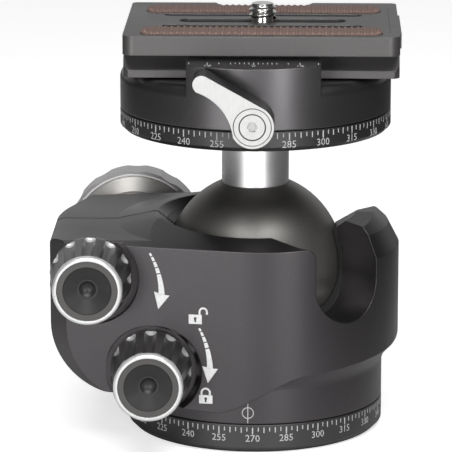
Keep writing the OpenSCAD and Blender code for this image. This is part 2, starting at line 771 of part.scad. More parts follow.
// Profile of a jaw across the plate, for the jaw on the +Y side
module jaw_profile() polygon([
    [dovetail_neck + jaw_gap, jaw_top_z], [dovetail_neck + jaw_gap, plate_z + dovetail_lip + dovetail_slope],
    [dovetail_w / 2 + jaw_gap, plate_z + dovetail_lip], [dovetail_w / 2 + jaw_gap, drum_top_z - 1],
    [far, drum_top_z - 1], [far, jaw_front_z - 0.05 * far], [23, jaw_top_z]
]);

module jaw_bar() rotate([90, 0, 90]) translate([0, 0, -jaw_half])
    linear_extrude(2 * jaw_half) jaw_profile();

// The drum side, rounded over at its top edge
module drum_body() translate([0, 0, drum_z]) rotate_extrude($fn = 180) polygon(concat(
    [[0, 0], [drum_r - 0.15, 0], [drum_r, 0.15]],
    [for (a = [0 : 10 : 90])
        [drum_r - drum_round * (1 - cos(a)), drum_h - drum_round * (1 - sin(a))]],
    [[0, drum_h]]
));

module front_jaw() intersection() {
    translate([0, 0, drum_z]) cylinder(d = drum_d, h = far, $fn = 180);
    mirror([0, 1, 0]) jaw_bar();
}

module clamp_floor() intersection() {
    translate([0, 0, drum_z]) cylinder(d = drum_d - 8, h = far);
    translate([-jaw_half, -dovetail_w / 2 - jaw_gap - 0.5, drum_top_z - 1])
        cube([2 * jaw_half, dovetail_w + 2 * jaw_gap + 0.4, floor_h + 1]);
}

module clamp_drum() color([0.26, 0.26, 0.27]) difference() {
    union() {
        drum_body();
        front_jaw();
        clamp_floor();
        intersection() {
            translate([0, 0, drum_z + 1]) cylinder(d = drum_d, h = far, $fn = 180);
            translate([-jaw_half, -far, drum_z + 1])
                cube([2 * jaw_half, far - dovetail_w / 2 - 1, drum_top_z - drum_z - 1.5]);
        }
    }
    translate([0, 0, drum_z - 1]) cylinder(d = boss_d + 0.16, h = far);
    translate([0, 0, web_top_z]) cylinder(d = cap_flange_d + 0.4, h = far);
    translate([-jaw_half - 0.2, jaw_back_y, jaw_foot_z - 0.2]) cube([2 * jaw_half + 0.4, far, far]);
    translate([-jaw_half - 0.2, dovetail_w / 2 - 0.2, drum_top_z + 0.001])
        cube([2 * jaw_half + 0.4, far, far]);
    to_front(0, 0, lever_z) cylinder(d = lever_pin_d + 2 * slip, h = far);
    to_rear(0, cap_flange_d / 2 + 2.2, clamp_z) cylinder(d = clamp_stud_d + 2 * slip, h = far);
    for (side = [-1, 1])
        to_rear(side * jaw_pin_x, jaw_pin_y, clamp_z) cylinder(d = jaw_pin_d + 2 * slip, h = far);
}

module rear_jaw() color([0.26, 0.26, 0.27]) difference() {
    intersection() {
        translate([0, 0, jaw_foot_z]) cylinder(d = drum_d, h = far, $fn = 180);
        union() {
            intersection() {
                jaw_bar();
                translate([-far, 0, drum_top_z + 0.1]) cube([2 * far, far, far]);
            }
            translate([-jaw_half, jaw_back_y + 0.1, jaw_foot_z])
                cube([2 * jaw_half, far, drum_top_z - jaw_foot_z + 1]);
        }
    }
    to_rear(0, 0, clamp_z) cylinder(d = clamp_stud_d + 2 * slip, h = far);
    for (side = [-1, 1])
        to_rear(side * jaw_pin_x, 0, clamp_z)
            cylinder(d = jaw_pin_d + 2 * slip, h = jaw_pin_y + jaw_pin_l + 0.2);
}

module jaw_pins() color([0.7, 0.7, 0.72]) for (side = [-1, 1])
    to_rear(side * jaw_pin_x, jaw_pin_y + 0.2, clamp_z) cylinder(d = jaw_pin_d, h = jaw_pin_l - 0.2);

module at_clamp() to_rear(0, drum_r + knob_gap, clamp_z) children();

module clamp_stud() color([0.6, 0.6, 0.62]) at_clamp()
    stud(clamp_stud_d, drum_r - cap_flange_d / 2 - 2.4, clamp_knob_len - 3.5);

module clamp_knob() color([0.16, 0.16, 0.17]) at_clamp() difference() {
    rotate_extrude() polygon([
        [clamp_stud_d / 2 + slip, 0], [clamp_knob_d / 2 - 2, 0], [clamp_knob_d / 2 - 1.6, 1.4],
        [clamp_knob_d / 2, 1.8], [clamp_knob_d / 2, clamp_knob_len - 0.8],
        [clamp_knob_d / 2 - 0.8, clamp_knob_len], [6.05, clamp_knob_len],
        [6.05, clamp_knob_len - 3.4], [clamp_stud_d / 2 + slip, clamp_knob_len - 3.4]
    ]);
    around(flutes, clamp_knob_d / 2 + 0.6) translate([0, 0, 1]) cylinder(r = 1.3, h = far);
}

module clamp_knob_cap() color([0.1, 0.1, 0.1]) at_clamp()
    translate([0, 0, clamp_knob_len - 3.3]) chamfered_disc(12, 3.1, 0.2, 0.4);

// ---- pan lock lever ----

module lever_outline() difference() {
    hull() {
        circle(r = lever_hub_r);
        rotate(lever_angle) translate([lever_len, 0]) circle(r = lever_tip_r, $fn = 32);
    }
    rotate(lever_angle) translate([10.1, 13.2]) circle(r = 12);
}

module at_lever(y) to_front(0, -y, lever_z) children();

module pan_lever() color([0.14, 0.14, 0.15]) at_lever(lever_y) difference() {
    union() {
        linear_extrude(lever_t) lever_outline();
        translate([0, 0, drum_r + 0.2 - lever_y]) cylinder(r = lever_hub_r - 0.4, h = 1);
    }
    translate([0, 0, -1]) cylinder(d = lever_pin_d + 2 * slip, h = far);
    translate([0, 0, lever_t - 1]) cylinder(r = lever_washer_r, h = far);
    translate([0, 0, lever_t - 3.2]) cylinder(r = lever_head_r + slip, h = far);
}

module lever_washer() color([0.85, 0.85, 0.87]) at_lever(lever_y) translate([0, 0, lever_t - 1])
    tube(2 * (lever_washer_r - slip), 2 * (lever_head_r + slip), 0.95);

module lever_screw() color([0.85, 0.85, 0.87]) at_lever(0) {
    translate([0, 0, pin_front + 0.1])
        cylinder(d = lever_pin_d, h = lever_y + lever_t - 3.1 - pin_front);
    translate([0, 0, lever_y + lever_t - 3.2]) difference() {
        cylinder(r = lever_head_r, h = 3.1);
        translate([0, 0, 1.6]) cylinder(r = 1.25, h = 3, $fn = 6);
    }
}

module lock_pin() color([0.72, 0.6, 0.3]) at_lever(pin_back)
    cylinder(d = lever_pin_d - 0.02, h = pin_front - pin_back);

// ---- quick-release plate ----

module dovetail() rotate([90, 0, 90]) translate([0, 0, -plate_l / 2]) linear_extrude(plate_l) polygon([
    for (side = [-1, 1]) each [for (i = [0 : 3]) let (p = [
        [dovetail_w / 2, 0], [dovetail_w / 2, dovetail_lip],
        [dovetail_neck, dovetail_lip + dovetail_slope], [dovetail_neck, dovetail_h + 0.5]
    ][side > 0 ? i : 3 - i]) [side * p[0], plate_z + p[1]]]
]);

module at_plate() translate([plate_offset, 0, 0]) children();

module quick_plate() color([0.33, 0.32, 0.32]) at_plate() difference() {
    union() {
        intersection() {
            dovetail();
            translate([0, 0, plate_z - 1]) rounded_plate(plate_l, dovetail_w + 0.6, plate_t + 6, 2.4);
        }
        translate([0, (plate_back - plate_front) / 2, slab_z])
            rounded_plate(plate_l, plate_front + plate_back, plate_t, 2.6);
        translate([0, (plate_back - plate_front) / 2 + 3, slab_z])
            rounded_plate(plate_l, plate_front + plate_back - 6, plate_t, 1.5);
    }
    translate([0, 0, plate_z - 1]) slot_shape(channel_l, channel_w, channel_top_z - plate_z + 1);
    translate([0, 0, slab_z - 1]) slot_shape(screw_slot_l, screw_slot_w, far);
    translate([0, 0, slab_z - 1]) cylinder(d = camera_thread_d + 0.5, h = far);
    for (side = [-1, 1]) {
        translate([0, side * (gap_slot_in + gap_slot_w / 2), plate_top_z - 1.2])
            slot_shape(gap_slot_l, gap_slot_w, far);
        translate([0, side * (pad_in + pad_w / 2), plate_top_z - 1.5])
            rounded_plate(pad_l + 0.1, pad_w + 0.1, far, 2);
        translate([side * stop_x, -stop_y, plate_z - 1]) cylinder(d = 2.6, h = 4);
    }
    translate([0, plate_back, slab_z - 0.01]) linear_extrude(far) polygon([
        [-notch_l / 2 - 1.5, 1], [-notch_l / 2 - 1.5, 0], [-notch_l / 2, -notch_d],
        [notch_l / 2, -notch_d], [notch_l / 2 + 1.5, 0], [notch_l / 2 + 1.5, 1]
    ]);
    translate([plate_l / 2 - end_block_l, -end_block_w / 2, slab_z + 0.8])
        cube([far, end_block_w, far]);
}

module pad(side) color([0.47, 0.36, 0.32]) at_plate()
    translate([0, side * (pad_in + pad_w / 2), plate_top_z - 1.5])
        rounded_plate(pad_l, pad_w, 1.5 + pad_up, 2);

module front_pad() pad(-1);
module rear_pad() pad(1);

module end_block() color([0.33, 0.32, 0.32]) at_plate() {
    translate([plate_l / 2 - end_block_l + slip, slip - end_block_w / 2, slab_z + 0.8])
        cube([end_block_l - slip, end_block_w - 2 * slip, plate_t - 0.8]);
    translate([plate_l / 2 - 0.5, 0.5 - end_block_w / 2, slab_z + 0.8])
        cube([0.9, 25, plate_t - 1]);
}

module stop_screws() color([0.6, 0.6, 0.62]) at_plate() for (side = [-1, 1])
    translate([side * stop_x, -stop_y, plate_z - 0.25]) {
        cylinder(d = 3.4, h = 0.25);
        cylinder(d = 2.5, h = 3);
    }

module screw_washer() color([0.1, 0.1, 0.1]) at_plate()
    translate([0, 0, channel_top_z - 0.55]) tube(screw_head_d - 0.6, screw_slot_w - 0.2, 0.5);

module camera_screw() color([0.8, 0.8, 0.82]) at_plate() {
    translate([0, 0, plate_top_z]) chamfered_disc(camera_thread_d, camera_thread_h, 0, 0.5);
    translate([0, 0, plate_z + 1]) cylinder(d = screw_slot_w - 0.4, h = plate_top_z - plate_z);
    translate([0, 0, plate_z + 0.9]) difference() {
        cylinder(d = screw_head_d, h = channel_top_z - 0.6 - plate_z - 0.9);
        translate([-far / 2, -0.8, -1]) cube([far, 1.6, 2.6]);
    }
}

base_plate();
tripod_socket();
pan_spindle();
spindle_screws();
pan_washer();
housing();
ball_collar();
lower_cup();
cup_spring();
front_cotter();
rear_cotter();
lock_stud();
lock_knob_collar();
lock_knob_grip();
lock_knob_cap();
lock_washer();
tension_stud();
tension_knob();
tension_ring();
tension_cap();
tension_washer();
pan_stud();
pan_knob();
pan_knob_ring();
pan_knob_cap();
ball();
stem();
clamp_ring();
stem_screw();
ring_flange();
flange_screws();
drum_washer();
clamp_drum();
pan_lever();
lever_washer();
lever_screw();
lock_pin();
rear_jaw();
jaw_pins();
clamp_stud();
clamp_knob();
clamp_knob_cap();
quick_plate();
front_pad();
rear_pad();
end_block();
stop_screws();
screw_washer();
camera_screw();
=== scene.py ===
import json
import math

import bmesh
import bpy
from mathutils import Matrix, Vector


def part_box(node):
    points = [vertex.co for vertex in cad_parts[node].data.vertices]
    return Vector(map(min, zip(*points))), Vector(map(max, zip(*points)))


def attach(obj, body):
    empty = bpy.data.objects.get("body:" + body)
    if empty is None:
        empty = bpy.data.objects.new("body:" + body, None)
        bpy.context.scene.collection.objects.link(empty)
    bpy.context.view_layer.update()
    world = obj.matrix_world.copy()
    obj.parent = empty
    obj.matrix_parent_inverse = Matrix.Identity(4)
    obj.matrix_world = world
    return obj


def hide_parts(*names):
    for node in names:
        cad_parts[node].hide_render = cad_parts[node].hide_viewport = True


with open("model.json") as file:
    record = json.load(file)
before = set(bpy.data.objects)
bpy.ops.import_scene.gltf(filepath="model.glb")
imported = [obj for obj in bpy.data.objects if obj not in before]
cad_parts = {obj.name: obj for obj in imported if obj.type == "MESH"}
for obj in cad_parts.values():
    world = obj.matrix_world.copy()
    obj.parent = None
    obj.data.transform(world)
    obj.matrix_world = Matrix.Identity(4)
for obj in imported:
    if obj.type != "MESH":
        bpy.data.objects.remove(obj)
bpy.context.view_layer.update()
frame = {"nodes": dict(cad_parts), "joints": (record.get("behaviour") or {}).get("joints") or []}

MM = 0.001
# Places closer than this count as the same, in millimetres
NEAR = 0.01
nodes = frame["nodes"]
joints = {joint["name"]: joint for joint in frame["joints"]}


def low_corner(node):
    """The left, front, lower corner of a node's box, in millimetres."""
    return Vector(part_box(node)[0]) / MM


def high_corner(node):
    return Vector(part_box(node)[1]) / MM


def pivot(joint):
    """A point on a hinge's axis, in millimetres."""
    return Vector(joints[joint]["pos_m"]) / MM


# Places read from the frame, in millimetres
FOOT_R = high_corner("base_plate").x
FOOT_MARK_TOP = high_corner("base_plate").z - 0.55
RING_R = high_corner("clamp_ring").x
RING_MARK_TOP = low_corner("drum_washer").z - 0.3
JAW_TOP = high_corner("clamp_drum").z
LEVER_AXIS = pivot("lever_turn")
LEVER_FACE_Y = low_corner("pan_lever").y
TENSION_AXIS = pivot("tension_knob_turn")
TENSION_BACK_Y = high_corner("tension_knob").y
PAN_AXIS = pivot("pan_knob_turn")
PAN_BACK_Y = high_corner("pan_knob").y
PLATE_TOP = high_corner("quick_plate").z
PLATE_X = pivot("screw_spin").x

# The housing's front is a flat wall, turned a little to the left, that touches a cylinder
WALL_R = 32.15
WALL_SHIFT = 1.7
WALL_TURN = math.radians(8.1)


# ---- hand tools ----

def clear():
    bpy.ops.object.select_all(action="DESELECT")


def take(*pieces):
    clear()
    for piece in pieces:
        piece.select_set(True)
    bpy.context.view_layer.objects.active = pieces[0]


def edit(piece):
    take(piece)
    bpy.ops.object.mode_set(mode="EDIT")


def done():
    bpy.ops.object.mode_set(mode="OBJECT")


def choose(piece, kind, test):
    """Selects the vertices, edges or faces whose middle passes the test, in millimetres."""
    bpy.ops.mesh.select_mode(type=kind)
    bpy.ops.mesh.select_all(action="DESELECT")
    shape = bmesh.from_edit_mesh(piece.data)
    items = {"VERT": shape.verts, "EDGE": shape.edges, "FACE": shape.faces}[kind]
    for item in items:
        if kind == "VERT":
            middle = item.co / MM
        elif kind == "EDGE":
            middle = (item.verts[0].co + item.verts[1].co) / 2 / MM
        else:
            middle = item.calc_center_median() / MM
        if test(middle):
            item.select_set(True)
    shape.select_flush_mode()
    bmesh.update_edit_mesh(piece.data)


def set_in_place(piece):
    """Puts the piece's place, turn and scale into its mesh."""
    take(piece)
    bpy.ops.object.transform_apply(location=True, rotation=True, scale=True)


def shift(piece, x, y, z):
    piece.data.transform(Matrix.Translation((x * MM, y * MM, z * MM)))


def block(size, middle):
    """A box of the given size, set in place."""
    bpy.ops.mesh.primitive_cube_add(size=1)
    piece = bpy.context.object
    piece.scale = [side * MM for side in size]
    piece.location = [place * MM for place in middle]
    set_in_place(piece)
    return piece


def rod(radius, low, high, sides):
    """An upright cylinder on the camera screw's axis, set in place."""
    bpy.ops.mesh.primitive_cylinder_add(
        vertices=sides, radius=radius * MM, depth=(high - low) * MM,
        location=(PLATE_X * MM, 0, (low + high) / 2 * MM))
    piece = bpy.context.object
    set_in_place(piece)
    return piece


def merge_doubles():
    bpy.ops.mesh.select_mode(type="VERT")
    bpy.ops.mesh.select_all(action="SELECT")
    bpy.ops.mesh.remove_doubles(threshold=0.002 * MM)


def recalculate(piece):
    edit(piece)
    merge_doubles()
    bpy.ops.mesh.normals_make_consistent(inside=False)
    done()


def apply_modifier(piece, name):
    take(piece)
    bpy.ops.object.modifier_apply(modifier=name)


def round_edges(piece, width):
    edges = piece.modifiers.new("edges", "BEVEL")
    edges.width = width * MM
    edges.segments = 2
    edges.limit_method = "ANGLE"
    edges.angle_limit = math.radians(35)
    apply_modifier(piece, "edges")


def twin(piece, place):
    """A copy with its own mesh, moved by a matrix."""
    copy = piece.copy()
    copy.data = piece.data.copy()
    bpy.context.scene.collection.objects.link(copy)
    copy.data.transform(place)
    return copy


def join(pieces):
    take(*pieces)
    bpy.ops.object.join()
    return bpy.context.view_layer.objects.active


def hand_over(piece, name, body, look, angle=35):
    """Names a finished piece, smooths it, gives it its finish and hangs it on its body."""
    piece.name = name
    piece.data.name = name
    take(piece)
    bpy.ops.object.shade_smooth_by_angle(angle=math.radians(angle))
    piece.data.materials.clear()
    piece.data.materials.append(look)
    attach(piece, body)
    clear()


# ---- finishes ----

class NodeTree:
    """Adds shader nodes and links them, for a finish or for the sky."""

    def __init__(self, tree):
        self.tree = tree

    def add(self, kind, **values):
        node = self.tree.nodes.new(kind)
        for key, value in values.items():
            setattr(node, key, value)
        return node

    def link(self, output, target):
        self.tree.links.new(output, target)

    def compute(self, operation, a, b=None):
        node = self.add("ShaderNodeMath", operation=operation)
        for socket, value in zip(node.inputs, (a, b)):
            if value is None:
                continue
            if isinstance(value, (int, float)):
                socket.default_value = value
            else:
                self.link(value, socket)
        return node.outputs[0]

    def spread(self, value, low, high, start=0.25, end=0.75):
        """Goes from low to high while the value goes from start to end, and no further."""
        ranged = self.add("ShaderNodeMapRange")
        ranged.inputs["From Min"].default_value = start
        ranged.inputs["From Max"].default_value = end
        ranged.inputs["To Min"].default_value = low
        ranged.inputs["To Max"].default_value = high
        self.link(value, ranged.inputs["Value"])
        return ranged.outputs["Result"]


class Finish(NodeTree):
    """A surface finish built from nodes on Object coordinates."""

    def __init__(self, name, metallic):
        self.look = bpy.data.materials.new(name)
        self.look.use_nodes = True
        super().__init__(self.look.node_tree)
        self.shader = self.tree.nodes["Principled BSDF"]
        self.shader.inputs["Metallic"].default_value = metallic
        self.shader.inputs["IOR"].default_value = 1.5
        self.shader.inputs["Specular IOR Level"].default_value = 0.5
        self.place = self.add("ShaderNodeTexCoord").outputs["Object"]

    def noise(self, scale, detail=2.0, stretch=(1, 1, 1)):
        mapping = self.add("ShaderNodeMapping")
        mapping.inputs["Scale"].default_value = stretch
        self.link(self.place, mapping.inputs["Vector"])
        texture = self.add("ShaderNodeTexNoise")
        texture.inputs["Scale"].default_value = scale
        texture.inputs["Detail"].default_value = detail
        self.link(mapping.outputs["Vector"], texture.inputs["Vector"])
        return texture.outputs["Fac"]

    def blend(self, amount, a, b):
        mix = self.add("ShaderNodeMix", data_type="RGBA")
        for key, value in ((6, a), (7, b)):
            if isinstance(value, tuple):
                mix.inputs[key].default_value = (*value, 1)
            else:
                self.link(value, mix.inputs[key])
        self.link(amount, mix.inputs[0])
        return mix.outputs[2]

    def mottle(self, grain, colour, dark, light):
        """A colour that wavers between a darker and a lighter share of itself."""
        return self.blend(self.spread(grain, 0, 1), shade(colour, dark), shade(colour, light))

    def colour(self, socket):
        self.link(socket, self.shader.inputs["Base Color"])

    def roughness(self, socket):
        self.link(socket, self.shader.inputs["Roughness"])

    def relief(self, height, depth, edge):
        """Bumps of a depth, and edges that look rounded by a radius, both in millimetres."""
        bump = self.add("ShaderNodeBump")
        bump.inputs["Distance"].default_value = depth * MM
        bump.inputs["Strength"].default_value = 1.0
        self.link(height, bump.inputs["Height"])
        self.link(self.rounded(edge), bump.inputs["Normal"])
        self.link(bump.outputs["Normal"], self.shader.inputs["Normal"])

    def rounded(self, radius):
        corner = self.add("ShaderNodeBevel", samples=6)
        corner.inputs["Radius"].default_value = radius * MM
        return corner.outputs["Normal"]

    def edge_mask(self, radius):
        """1 on edges, 0 on open surfaces."""
        surface = self.add("ShaderNodeNewGeometry")
        product = self.add("ShaderNodeVectorMath", operation="DOT_PRODUCT")
        self.link(self.rounded(radius), product.inputs[0])
        self.link(surface.outputs["Normal"], product.inputs[1])
        return self.spread(product.outputs["Value"], 1.0, 0.0, 0.85, 0.99)

    def axes(self, centre):
        """The coordinates from a centre, one socket each for x, y and z."""
        mapping = self.add("ShaderNodeMapping")
        mapping.inputs["Location"].default_value = [-c * MM for c in centre]
        self.link(self.place, mapping.inputs["Vector"])
        split = self.add("ShaderNodeSeparateXYZ")
        self.link(mapping.outputs["Vector"], split.inputs[0])
        return split.outputs

    def depth_behind(self, y):
        """Distance in millimetres behind an upright plane, away from the front."""
        return self.compute("MULTIPLY", self.axes((0, y, 0))[1], 1 / MM)

    def radius_round(self, axis):
        """Distance in millimetres from an axis that runs from front to back."""
        axes = self.axes((axis.x, 0, axis.z))
        squares = [self.compute("MULTIPLY", axes[i], axes[i]) for i in (0, 2)]
        metres = self.compute("SQRT", self.compute("ADD", *squares))
        return self.compute("MULTIPLY", metres, 1 / MM)

    def groove(self, radius, rise, fall):
        """1 between two flanks, each given by the radii where it starts and ends."""
        return self.compute(
            "MULTIPLY", self.spread(radius, 0, 1, *rise), self.spread(radius, 1, 0, *fall))


def shade(colour, share):
    return tuple(channel * share for channel in colour)


GRIP = (0.15, 0.145, 0.145)
FLUTE_ENDS = (0.95, 0.95, 0.95)
CAP_RIM = (0.1, 0.097, 0.095)
CAP_DISH = (0.038, 0.037, 0.037)
CAP_SEAM = (0.012, 0.012, 0.012)
DEEP_BLACK = (0.03, 0.03, 0.031)


def anodised(name, colour, roughness, metallic=0.55, wear=0.25, edge=0.3, grain=2600):
    """Bead-blasted and anodised aluminium, a little lighter along its edges."""
    f = Finish(name, metallic)
    fine = f.noise(grain, 3)
    cloud = f.noise(55, 2)
    worn = tuple(min(1, channel * 1.7 + 0.03) for channel in colour)
    scuffs = f.spread(f.noise(700, 3), 0.2 * wear, 1.6 * wear)
    rub = f.compute("MULTIPLY", f.edge_mask(edge), scuffs)
    f.colour(f.blend(rub, f.mottle(fine, colour, 0.93, 1.07), worn))
    f.roughness(f.spread(cloud, roughness - 0.04, roughness + 0.05))
    f.relief(fine, 0.0035, edge)
    return f.look


def turned(name, colour, roughness, stretch, depth=0.003, metallic=1.0):
    """Bright metal with fine turning marks, which run across the stretched direction."""
    f = Finish(name, metallic)
    lines = f.noise(400, 3, stretch)
    f.colour(f.mottle(lines, colour, 0.9, 1))
    f.roughness(f.spread(f.noise(120, 2), roughness - 0.05, roughness + 0.07))
    f.relief(lines, depth, 0.15)
    return f.look


def moulded(name, colour, roughness, grain=1500, depth=0.006):
    """Plastic, rubber or paint with a fine skin."""
    f = Finish(name, 0)
    skin = f.noise(grain, 3)
    f.colour(f.mottle(skin, colour, 0.86, 1.12))
    f.roughness(f.spread(f.noise(90, 2), roughness - 0.05, roughness + 0.06))
    f.relief(skin, depth, 0.15)
    return f.look


def fluted_finish(name, axis, back_y):
    """Dark bright-dipped grip whose flute ends, next to the back rim, are cut bright."""
    f = Finish(name, 0.8)
    fine = f.noise(1500, 3, (1, 0.15, 1))
    near_back = f.spread(f.depth_behind(back_y), 0, 1, -1.5, -1.25)
    inside_rim = f.spread(f.radius_round(axis), 1, 0, 9.2, 9.35)
    ends = f.compute("MULTIPLY", near_back, inside_rim)
    f.colour(f.blend(ends, f.mottle(fine, GRIP, 0.85, 1.15), FLUTE_ENDS))
    frost = f.compute("MULTIPLY", ends, 0.22)
    f.roughness(f.compute("ADD", f.spread(fine, 0.3, 0.4), frost))
    f.relief(fine, 0.003, 0.2)
    return f.look


def cap_finish(name, axis):
    """Satin rim round a darker dish, with a dark seam between them."""
    f = Finish(name, 0.4)
    radius = f.radius_round(axis)
    fine = f.noise(2200, 3)
    seam = f.groove(radius, (5.3, 5.42), (5.5, 5.62))
    rim_or_dish = f.blend(f.spread(radius, 1, 0, 5.42, 5.55), CAP_RIM, CAP_DISH)
    f.colour(f.blend(seam, rim_or_dish, CAP_SEAM))
    f.roughness(f.spread(fine, 0.34, 0.44))
    f.relief(fine, 0.003, 0.15)
    return f.look


def lever_finish():
    """Black sides and a bright satin face."""
    f = Finish("lever bright face", 0.5)
    fine = f.noise(1800, 3, (1, 1, 0.25))
    face = f.spread(f.depth_behind(LEVER_FACE_Y), 1, 0, 0.2, 0.26)
    bright = f.blend(f.spread(fine, 0, 1), (0.66, 0.66, 0.65), (0.73, 0.73, 0.72))
    f.colour(f.blend(face, DEEP_BLACK, bright))
    f.roughness(f.spread(fine, 0.36, 0.42))
    f.relief(fine, 0.002, 0.2)
    return f.look


def hub_finish():
    """The lever's turned hub: a dark line round its rim and another round its screw."""
    f = Finish("lever hub bright", 0.5)
    fine = f.noise(1800, 3)
    radius = f.radius_round(LEVER_AXIS)
    rim_line = f.spread(radius, 0, 1, 4.08, 4.16)
    lines = f.compute("ADD", rim_line, f.groove(radius, (2.74, 2.8), (3.02, 3.1)))
    bright = f.blend(f.spread(fine, 0, 1), (0.66, 0.66, 0.65), (0.74, 0.74, 0.73))
    f.colour(f.blend(lines, bright, (0.06, 0.06, 0.06)))
    f.roughness(f.spread(fine, 0.33, 0.4))
    f.relief(fine, 0.002, 0.15)
    return f.look


# Turning marks run round an upright axis, or round one from front to back
UPRIGHT = (1, 1, 20)
LENGTHWISE = (1, 20, 1)

body_grey = anodised("body anodised grey", (0.085, 0.08, 0.084), 0.36, metallic=0.92)
drum_grey = anodised("drum anodised grey", (0.125, 0.12, 0.124), 0.3, metallic=0.88)
foot_grey = anodised("foot anodised black", (0.07, 0.068, 0.07), 0.4, metallic=0.7)
plate_grey = anodised("plate anodised grey", (0.126, 0.121, 0.12), 0.45, wear=0.35)
ball_coat = anodised("ball hard coat", (0.28, 0.274, 0.262), 0.46,
                     metallic=0.94, wear=0, edge=0.1, grain=1800)
black_alloy = anodised("black anodised", DEEP_BLACK, 0.4)
rear_grip_grey = anodised("rear grip light grey", (0.68, 0.665, 0.67), 0.42, metallic=0.6)
rear_collar_grey = anodised("rear collar bright grey", (0.45, 0.438, 0.42), 0.38, metallic=0.7)
stem_bright = turned("stem bright turned", (0.96, 0.95, 0.95), 0.36, (1, 1, 30), depth=0.0008)
ring_bright = turned("knob ring bright", (0.93, 0.93, 0.93), 0.3, (1, 30, 1), metallic=0.55)
hub_bright = hub_finish()
steel = turned("machined steel", (0.55, 0.55, 0.57), 0.35, UPRIGHT)
black_steel = turned("black oxide steel", (0.08, 0.08, 0.085), 0.4, UPRIGHT)
brass = turned("machined brass", (0.62, 0.46, 0.2), 0.32, LENGTHWISE)
slip_black = moulded("slip ring black", (0.012, 0.012, 0.012), 0.5)
liner_black = moulded("liner black", (0.03, 0.03, 0.03), 0.4)
pad_brown = moulded("pad rubber brown", (0.225, 0.15, 0.128), 0.72, grain=2200, depth=0.02)
mark_paint = moulded("engraving light paint", (0.62, 0.62, 0.61), 0.5, grain=3000, depth=0.002)
arrow_paint = moulded("arrow white paint", (0.86, 0.86, 0.86), 0.5, grain=3000, depth=0.002)

NODE_LOOKS = {
    # the base
    "base_plate": foot_grey, "tripod_socket": steel, "pan_spindle": steel,
    "spindle_screws": black_steel, "pan_washer": slip_black,
    # the housing and its pan lock
    "housing": body_grey, "ball_collar": liner_black, "lower_cup": liner_black,
    "cup_spring": steel, "front_cotter": brass, "rear_cotter": brass,
    # the three knobs
    "lock_stud": steel, "lock_washer": steel, "lock_knob_collar": rear_collar_grey,
    "lock_knob_grip": rear_grip_grey, "lock_knob_cap": black_alloy,
    "tension_stud": steel, "tension_washer": steel, "tension_ring": ring_bright,
    "tension_knob": fluted_finish("tension knob grip", TENSION_AXIS, TENSION_BACK_Y),
    "tension_cap": cap_finish("tension cap dish", TENSION_AXIS),
    "pan_stud": steel, "pan_knob_ring": ring_bright,
    "pan_knob": fluted_finish("pan knob grip", PAN_AXIS, PAN_BACK_Y),
    "pan_knob_cap": cap_finish("pan cap dish", PAN_AXIS),
    # the ball, the stem and the upper ring
    "ball": ball_coat, "stem": stem_bright, "stem_screw": steel, "clamp_ring": foot_grey,
    "ring_flange": steel, "flange_screws": black_steel,
    # the panning clamp
    "drum_washer": slip_black, "clamp_drum": drum_grey, "lock_pin": brass,
    "pan_lever": lever_finish(), "lever_washer": hub_bright, "lever_screw": hub_bright,
    "rear_jaw": drum_grey, "jaw_pins": steel, "clamp_stud": steel,
    "clamp_knob": black_alloy, "clamp_knob_cap": black_alloy,
    # the plate
    "quick_plate": plate_grey, "end_block": plate_grey, "front_pad": pad_brown,
    "rear_pad": pad_brown, "stop_screws": steel, "screw_washer": slip_black,
    "camera_screw": steel,
}
for node_name, look in NODE_LOOKS.items():
    node = nodes[node_name]
    node.data.materials.clear()
    node.data.materials.append(look)
clear()


# ---- engraved marks ----

# Marks stand a hair out of their surface, towards the reader
PROUD = 0.03
BAR_DEPTH = 0.14
NUMERAL_DEPTH = 0.07


def bar(width, height):
    """A flat bar standing in the drawing plane, its top edge at the origin."""
    bpy.ops.mesh.primitive_plane_add(size=1)
    piece = bpy.context.object
    piece.scale = (width * MM, height * MM, 1)
    piece.location = (0, -height / 2 * MM, PROUD * MM)
    set_in_place(piece)
    edit(piece)
    bpy.ops.mesh.select_all(action="SELECT")
    bpy.ops.mesh.extrude_region_move(TRANSFORM_OT_translate={"value": (0, 0, -BAR_DEPTH * MM)})
    done()
    recalculate(piece)
    return piece


def numeral(words, size):
    """Figures in the drawing plane, centred on the origin, as a mesh."""
    bpy.ops.object.text_add()
    piece = bpy.context.object
    piece.data.body = words
    piece.data.size = size * MM
    piece.data.align_x = "CENTER"
    piece.data.align_y = "CENTER"
    piece.data.resolution_u = 2
    piece.data.extrude = NUMERAL_DEPTH * MM
    take(piece)
    bpy.ops.object.convert(target="MESH")
    piece = bpy.context.object
    shift(piece, 0, 0, PROUD - NUMERAL_DEPTH)
    return piece


def wrap(piece, radius, angle, z):
    """Bends a piece in the drawing plane round a vertical cylinder."""
    for vertex in piece.data.vertices:
        x, y, out = vertex.co / MM
        turn = math.radians(angle) + x / radius
        distance = radius + out
        vertex.co = Vector((distance * math.cos(turn), distance * math.sin(turn), z + y)) * MM
    return piece


# The two degree scales, with angles in degrees and lengths in millimetres
MARK_TURN = 2.5
FIGURE_TURN = 15
LONG_MARK, MIDDLE_MARK, SHORT_MARK = 1.65, 1.3, 0.95
MARK_WIDTHS = {LONG_MARK: 0.3, MIDDLE_MARK: 0.26, SHORT_MARK: 0.24}
FIGURE_SIZE = 2.3
FIGURE_DROP = 1.05


